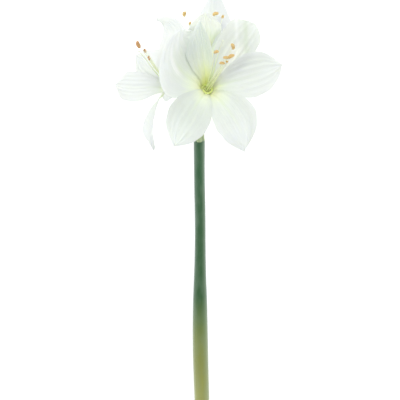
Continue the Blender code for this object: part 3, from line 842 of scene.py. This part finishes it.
def stalklet_rings(bloom, root, direction):
    """Rings of a stalklet, its lobed ovary and its tube, from a sunk foot to the rim."""
    end = bloom.rim - bloom.axis * RIM_GAP
    reach = np.linalg.norm(end - root)
    line = pulled_line(root, direction * reach * STALKLET_PULL, end, bloom.axis * reach * bloom.end_pull)
    shares = np.linspace(0, 1, STALKLET_RINGS)
    points, directions = shared_out(line, shares)
    radii = eased(shares, *np.array(STALKLET_PROFILE).T) * MM
    angles = ring_angles(STALKLET_SIDES)
    ovary = np.exp(-((shares - OVARY_AT) / OVARY_LENGTH) ** 2)[:, None]
    tube = set_in(shares, TUBE_SPAN)[:, None]
    lobes = OVARY_LOBES * ovary * np.cos(CARPELS * angles)
    flutes = SKIN_FLUTES * (1 - ovary) * np.cos(TEPALS * angles) * (1 - tube)
    foot = 1 + FOOT_FLARE * np.exp(-(shares * reach / FOOT_LENGTH) ** 2)[:, None]
    rings = tube_rings(points, directions, radii[:, None] * (1 + lobes + flutes) * foot, STALKLET_SIDES)
    return np.concatenate([rings[:1] - direction * FOOT_SUNK, rings])


def lining_rings(bloom, spokes):
    """Rings of the thin lining inside the claws, with its fringe."""
    azimuths = np.degrees(np.arctan2(spokes @ bloom.aside, spokes @ bloom.across))
    turned = np.radians(azimuths)
    fluted = np.cos(FLUTES * turned)
    margin = LINING_LENGTH * (1 + LOBE_HEIGHT * np.cos(TEPALS * turned) + FLUTE_HEIGHT * fluted)
    fringe = FRINGE * (1 + FRINGE_FLUTES * fluted + FRINGE_LEAN * np.cos(turned - FRINGE_LEANS_TO))

    # It steps outward where an outer tepal shows between its neighbours
    step = np.zeros(len(azimuths))
    for i, tepal in enumerate(bloom.ordered):
        if tepal["edges"] == (-1, -1):
            before, after = bloom.ordered[i - 1]["azimuth"], bloom.ordered[(i + 1) % TEPALS]["azimuth"]
            away = (azimuths - before - (after - before) % 360 / 2 + 180) % 360 - 180
            step = step + STEP_DEPTH * np.exp(-(away / STEP_DEGREES) ** 2)

    rings = []
    for share, inset, inward in LINING_COURSE:
        radius, height, slope = bloom.meridian(margin * share, azimuths)
        offset = LINING_INSET - step * ease(share * 2) + LINING_THICKNESS * inset
        radius = radius - offset * np.cos(slope) - fringe * inward
        height = height + offset * np.sin(slope) + fringe * FRINGE_RISE * inward
        rings.append(bloom.place(radius, height, azimuths))
    return rings


def make_stalklet(bloom, root, direction, shift, material):
    """Stalklet of one bloom, with a collar and a seat for the claws and an open, lined throat."""
    skin = stalklet_rings(bloom, root, direction)
    spokes = skin[-1] - skin[-1].mean(axis=0)
    spokes = spokes / np.linalg.norm(spokes, axis=1)[:, None]

    def ring(radius, height):
        return bloom.rim + spokes * radius * MM + bloom.axis * height * MM

    collar = []
    waved = 1 + COLLAR_WAVE * np.cos(TEPALS * ring_angles(STALKLET_SIDES))[:, None]
    for gap, height in COLLAR:
        radius = RIM_RADIUS / MM + gap + height * math.tan(bloom.rim_slope)
        collar.append(ring(radius, height * waved if height > COLLAR_WAVED_FROM else height))
    outside = [*skin, *collar, *(ring(*place) for place in SEAT)]
    throat = [outside[-1], *lining_rings(bloom, spokes), *(ring(*place) for place in THROAT_FLOOR)]
    body = Body()
    body.add_tube(np.array(outside) + shift, along=(0, THROAT_FROM), closed=(True, False))
    body.add_tube(np.array(throat) + shift, along=(THROAT_FROM, 1), closed=(False, True))
    body.make(bloom.name + "_stalklet_skin", [material], bloom.name + "_stalklet", "stalklet")


def make_tepal(bloom, tepal, shift, material):
    """A tepal as a thin blade, thinner at its margins."""
    shares = np.linspace(0, TEPAL_END, TEPAL_ROWS + 1)
    share, across = np.meshgrid(shares, np.linspace(-1, 1, TEPAL_COLUMNS + 1), indexing="ij")
    half = TEPAL_THICKNESS / 2 * (1 - MARGIN_THINNING * np.abs(across) ** 3)
    inner = tepal_surface(bloom, tepal, share, across, half)
    outer = tepal_surface(bloom, tepal, share, across, -half)
    if tepal["rests"]:
        drop_to_table(share, inner, outer)
    body = Body()
    body.add_sheet(inner + shift, outer + shift)
    name = bloom.name + "_tepal_" + tepal["name"]
    body.make(name + "_petal", [material], name, "tepal", sharp=TEPAL_SHARP_EDGE)


def filament_line(bloom, base, end):
    """A line that leaves the tube along the bloom's axis and curves over with the others."""
    reach = np.linalg.norm(end - base)
    lean = unit(end - base) + unit(bloom.anthers.mean(axis=0) - bloom.rim) * FILAMENT_LEAN
    first, last = FILAMENT_PULLS
    return pulled_line(base, bloom.axis * reach * first, end, unit(lean) * reach * last)


def add_thread(body, line, profile, until=1, texture_end=1):
    """A round thread along a fine line. Returns its last point and its direction there."""
    shares = np.linspace(0, until, FILAMENT_RINGS)
    points, directions = shared_out(line, shares)
    radii = np.interp(shares, *np.transpose(profile)) * MM
    body.add_tube(tube_rings(points, directions, radii, FILAMENT_SIDES), along=(0, texture_end))
    return points[-1], unit(directions[-1])


def add_anther(body, end, direction, along, size):
    """A plump, bowed anther of two lobes on the end of its filament."""
    along = unit(along)
    bow = unit(np.cross(along, np.cross(direction, along)))
    t = np.linspace(-1, 1, ANTHER_RINGS)
    length = ANTHER_LENGTH * size
    points = end + np.outer(t, along) * length / 2 - np.outer(t ** 2, bow) * length * ANTHER_BOW
    angles = ring_angles(ANTHER_SIDES)
    grooves = sum(np.exp(-(side(angles / 2) / GROOVE_WIDTH) ** 2) for side in (np.sin, np.cos))
    lobed = 1 - ANTHER_FLATNESS * (1 + np.cos(2 * angles)) - GROOVE_DEPTH * grooves
    radii = ANTHER_RADIUS * size * np.sqrt(1 - ANTHER_TAPER * t ** 2)[:, None] * lobed
    body.add_tube(tube_rings(points, np.gradient(points, axis=0), radii, ANTHER_SIDES, up=bow))


def make_stamens(bloom, shift, thread, pollen):
    """Six filaments from a low cup in the throat, and their anthers."""
    threads, anthers = Body(), Body()
    centre = bloom.rim + bloom.axis * CUP_THICKNESS
    turned = bloom.outward(np.arange(CUP_SIDES) * 360 / CUP_SIDES)
    cup = [centre + turned * radius * MM + bloom.axis * height * MM for radius, height in CUP]
    threads.add_tube(np.array(cup) + shift, along=(0, CUP_TEXTURE_END))
    bases = centre + bloom.outward(FILAMENT_AZIMUTHS) * FILAMENT_CIRCLE - bloom.axis * FILAMENT_SUNK
    for base, end, along, size in zip(bases, bloom.anthers, bloom.anther_turns, bloom.anther_sizes):
        line = filament_line(bloom, base, end) + shift
        add_anther(anthers, *add_thread(threads, line, FILAMENT_PROFILE), along, size)
    threads.make(bloom.name + "_filaments", [thread], bloom.name + "_stamens", "stamens")
    anthers.make(bloom.name + "_anthers", [pollen], bloom.name + "_stamens", "stamens")


def make_style(bloom, shift, material):
    """The style, which ends in three short, spread lobes."""
    body = Body()
    line = filament_line(bloom, bloom.rim + bloom.axis * STYLE_FROM, bloom.stigma) + shift
    tip, ahead = add_thread(body, line, STYLE_PROFILE, STYLE_UNTIL, STYLE_TEXTURE_END)
    side = unit(np.cross(ahead, ASKEW))
    other = np.cross(ahead, side)
    t = np.linspace(0, 1, LOBE_RINGS)
    radii = np.interp(t, *np.transpose(LOBE_PROFILE)) * MM
    rise = np.outer(LOBE_RISE * np.sin(t * LOBE_CURL), ahead)
    for angle in np.radians(LOBE_TURNS):
        away = math.cos(angle) * side + math.sin(angle) * other
        lobe = tip + LOBE_LENGTH * (rise + np.outer(LOBE_SPREAD * t ** LOBE_OPENING, away))
        rings = tube_rings(lobe, np.gradient(lobe, axis=0), radii, FILAMENT_SIDES)
        body.add_tube(rings, along=(STYLE_TEXTURE_END, 1))
    body.make(bloom.name + "_style_thread", [material], bloom.name + "_style", "style")


def petal(name, azimuth, length, width, flare, tip, edges, **changes):
    """Measures of one tepal: degrees round the axis, millimetres, and slopes of its middle and its tip.

    edges says whether its lower and higher edge lie inside (1) or outside (-1) the neighbour. bend turns the
    midrib sideways by the tip, sway bows it, twist turns the blade about it, and roll turns the edges back.
    gains widen the two halves, and blunt broadens the end. A tepal that rests touches the table.
    """
    measures = {
        "bend": 0, "sway": 0, "twist": 0, "gains": (0, 0), "blunt": 2.3,
        "roll": 3.5, "rests": False, "look": "white",
    }
    measures.update(name=name, azimuth=azimuth, length=length, width=width, flare=flare, tip=tip)
    measures.update(changes, edges=edges)
    return measures


def front_bloom():
    """The bloom that faces up to the camera."""
    return Bloom(
        "front", rim=(8.3, 151.4, 118), axis=(0.2, 0.26, 0.94), reference=(0, 1, 0), funnel=(12, 0, 0.43),
        tepals=[
            petal("top", 23, 115, 43, 50, 24, (1, 1), bend=-6, roll=1, blunt=1.7, gains=(-0.26, -0.04),
                  look="green"),
            petal("left", 74, 107, 77, 68, 160, (-1, -1), bend=-38, sway=4, blunt=1.8, gains=(0.2, 0.09),
                  look="olive_shaded"),
            petal("lower_left", 146, 116, 61, 83.5, 109, (1, 1), bend=2, sway=-1.7, blunt=2.6,
                  look="shaded"),
            petal("lower_right", 207, 116, 67, 86, 128, (-1, 1), bend=-2, sway=6, blunt=2.2,
                  gains=(-0.1, -0.03)),
            petal("right", 271, 117, 63, 79, 74, (-1, 1), bend=13, sway=6, blunt=2.8, gains=(-0.06, 0),
                  look="right"),
            petal("upper_right", 316, 137, 59, 70, 160, (-1, -1), bend=6, sway=5, blunt=4.4,
                  gains=(-0.2, 0.02), look="painted_fold"),
        ],
        anthers=[
            (22, 202, 182, 0.6, 0.1, 1, 0.95), (30, 187, 178, 1, -0.15, 0.4, 0.75),
            (37, 189, 174, 0.2, 0.1, 1, 0.6), (42, 196, 180, 1, 0.45, 0.3, 0.95),
            (45, 209, 186, -0.25, 0.6, 1, 1.1), (35, 194, 184, 1, -0.2, 0.6, 0.8),
        ],
        stigma=(31, 217, 188),
    )


def left_bloom():
    """The bloom that looks away to the left."""
    return Bloom(
        "left", rim=(-26, 155, 73), axis=(-0.9, 0.26, 0.12), reference=(0, 1, 0), funnel=(10, 0.02, 0.47),
        end_pull=SHORT_PULL,
        tepals=[
            petal("top", 16, 136, 39, 102, -21, (1, 1), bend=11, sway=4, twist=29, roll=2.5, blunt=1.7,
                  gains=(0.38, -0.24), look="plain"),
            petal("upper", 72, 112, 56, 56, 66, (-1, -1), bend=-8, look="plain"),
            petal("outer", 107, 124, 51, 51, 67, (1, 1), bend=-9, twist=-14, blunt=4.2, gains=(-0.05, -0.24),
                  rests=True, look="plain"),
            petal("lower", 203, 114, 43.5, 90, 166, (-1, 1), bend=-15, sway=4.5, twist=-10, blunt=1.7,
                  gains=(0.34, -0.26), look="bright"),
            petal("near_lower", 266, 85, 45, 92, 150, (-1, 1)),
            petal("near_upper", 311, 84, 45, 92, 150, (-1, -1), bend=-6),
        ],
        anthers=[
            (-87, 218, 98, -0.4, 0.9, 0.6, 1.1), (-78, 211, 93, 0.1, 0.4, 1, 0.6),
            (-72, 200, 105, 0.1, 0.3, 1, 0.6), (-71, 198, 96, 0.2, 0.3, 1, 0.6),
            (-77, 210, 80, 0.1, 0.3, 1, 0.6), (-86, 217, 84, 0.1, 0.4, 1, 0.9),
        ],
        stigma=(-86, 209, 97),
    )


def back_bloom():
    """The bloom behind, which points on along the stem."""
    return Bloom(
        "back", rim=(8, 189, 74), axis=(0.04, 0.99, 0.04), reference=(0, 0, 1), funnel=(9, 0.06, 0.5),
        tepals=[
            petal("near", 357, 97, 44, 50, 62, (1, 1), roll=1.5, look="lime"),
            petal("near_right", 66, 90, 52, 54, 78, (-1, -1), look="bright"),
            petal("far_right", 140, 117, 50, 80, 92, (1, 1), rests=True, look="bright"),
            petal("far", 171, 134, 36, 33, 42, (-1, -1), rests=True, look="far"),
            petal("far_left", 220.5, 70, 38, 70, 118, (1, 1), bend=-10, look="bright"),
            petal("near_left", 306, 84, 44, 66, 110, (-1, -1), bend=24, look="bright"),
        ],
        anthers=[
            (32, 258, 90, 0.3, 0.8, 1, 0.65), (22, 263, 82, 0.7, 0.2, 1, 1.1),
            (12, 240, 88, 0.8, -0.2, 0.5, 0.9), (6, 249, 76, 0.9, 0.1, -0.4, 0.9),
            (-22, 262, 92, 0.1, 0.6, 1, 1), (-14, 248, 100, 0.2, 0.8, 0.9, 0.6),
        ],
        stigma=(1, 258, 97),
    )


def find_shift():
    """How far the CAD model was moved to centre it."""
    own = cad_stalk()[0].min(axis=(0, 1))
    own[2] = 0
    return np.array(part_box("stalk")[0]) - own


def make_floor():
    far = HALF_FLOOR
    mesh = bpy.data.meshes.new("floor")
    mesh.from_pydata([(-far, -far, 0), (far, -far, 0), (far, far, 0), (-far, far, 0)], [], [(0, 1, 2, 3)])
    mesh.uv_layers.new(name="UVMap")
    mesh.materials.append(floor_material())
    floor = add_object("floor", mesh)


def make_surroundings():
    """White surroundings, bright near the table and dimmer overhead."""
    world = bpy.data.worlds.new("studio")
    world.use_nodes = True
    tree = world.node_tree
    parts = tree.nodes.new("ShaderNodeSeparateXYZ")
    tree.links.new(tree.nodes.new("ShaderNodeTexCoord").outputs["Generated"], parts.inputs[0])
    walls = tree.nodes.new("ShaderNodeMapRange")
    walls.interpolation_type = "SMOOTHSTEP"
    tree.links.new(parts.outputs["Z"], walls.inputs["Value"])
    for name, value in (("From Min", 0.25), ("From Max", 0.65), ("To Min", 0.95), ("To Max", 0.3)):
        walls.inputs[name].default_value = value
    colour, strength = tree.nodes["Background"].inputs[:2]
    colour.default_value = (0.985, 0.995, 1, 1)
    tree.links.new(walls.outputs["Result"], strength)
    bpy.context.scene.world = world
    bpy.context.scene.view_settings.view_transform = "Standard"


def make_lamps():
    """Soft round lamps, by place and size in metres and power in watts."""
    lamps = [
        ("lamp_top", (-0.3, 1.9, 1.3), 1.6, 5),
        ("lamp_right", (1.9, 0.3, 1.1), 1.6, 3),
        ("lamp_left", (-1.9, 0.3, 1.1), 1.6, 6),
        ("lamp_above", (0.4, 0.66, 2.6), 1.1, 22),
        ("lamp_above_left", (-0.85, 0.45, 2.4), 1.2, 9),
    ]
    for name, place, size, power in lamps:
        data = bpy.data.lights.new(name, "AREA")
        data.shape = "DISK"
        data.size = size
        data.energy = power
        lamp = add_object(name, data)
        lamp.location = place
        lamp.rotation_euler = (Vector(LAMPS_AIM_AT) - Vector(place)).to_track_quat("-Z", "Y").to_euler()


def make_camera(shift):
    camera = add_object("camera", bpy.data.cameras.new("camera"))
    camera.location = (shift[0], shift[1], CAMERA_HEIGHT)
    camera.data.angle = 2 * math.atan(HALF_VIEW / CAMERA_HEIGHT)
    bpy.context.scene.camera = camera


def main():
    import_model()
    shift = find_shift()
    make_floor()
    make_surroundings()
    make_lamps()
    make_camera(shift)
    top, direction = make_stalk(shift, [stalk_material(), flesh_material()])
    side = unit(np.cross(direction, (0, 0, 1)))
    above = np.cross(side, direction)
    petals = petal_materials()
    green = stalklet_material()
    thread = filament_material("filament", (0.92, 0.97, 0.46), (0.9, 0.96, 0.58), (0.89, 0.93, 0.76))
    style = filament_material("style", (0.7, 0.84, 0.28), (0.76, 0.87, 0.5), (0.84, 0.89, 0.74))
    fresh = anther_material("anther", (1, 1, 1))
    ripe = anther_material("anther_ripe", (0.84, 0.68, 0.74))
    blooms = ((front_bloom(), fresh), (left_bloom(), ripe), (back_bloom(), fresh))
    for (bloom, pollen), (across, up) in zip(blooms, STALKLET_ROOTS):
        root = top + direction * STALKLET_GAP + side * across * MM + above * up * MM
        make_stalklet(bloom, root, direction, shift, green)
        for tepal in bloom.tepals:
            make_tepal(bloom, tepal, shift, petals[tepal["look"]])
        make_stamens(bloom, shift, thread, pollen)
        make_style(bloom, shift, style)


main()
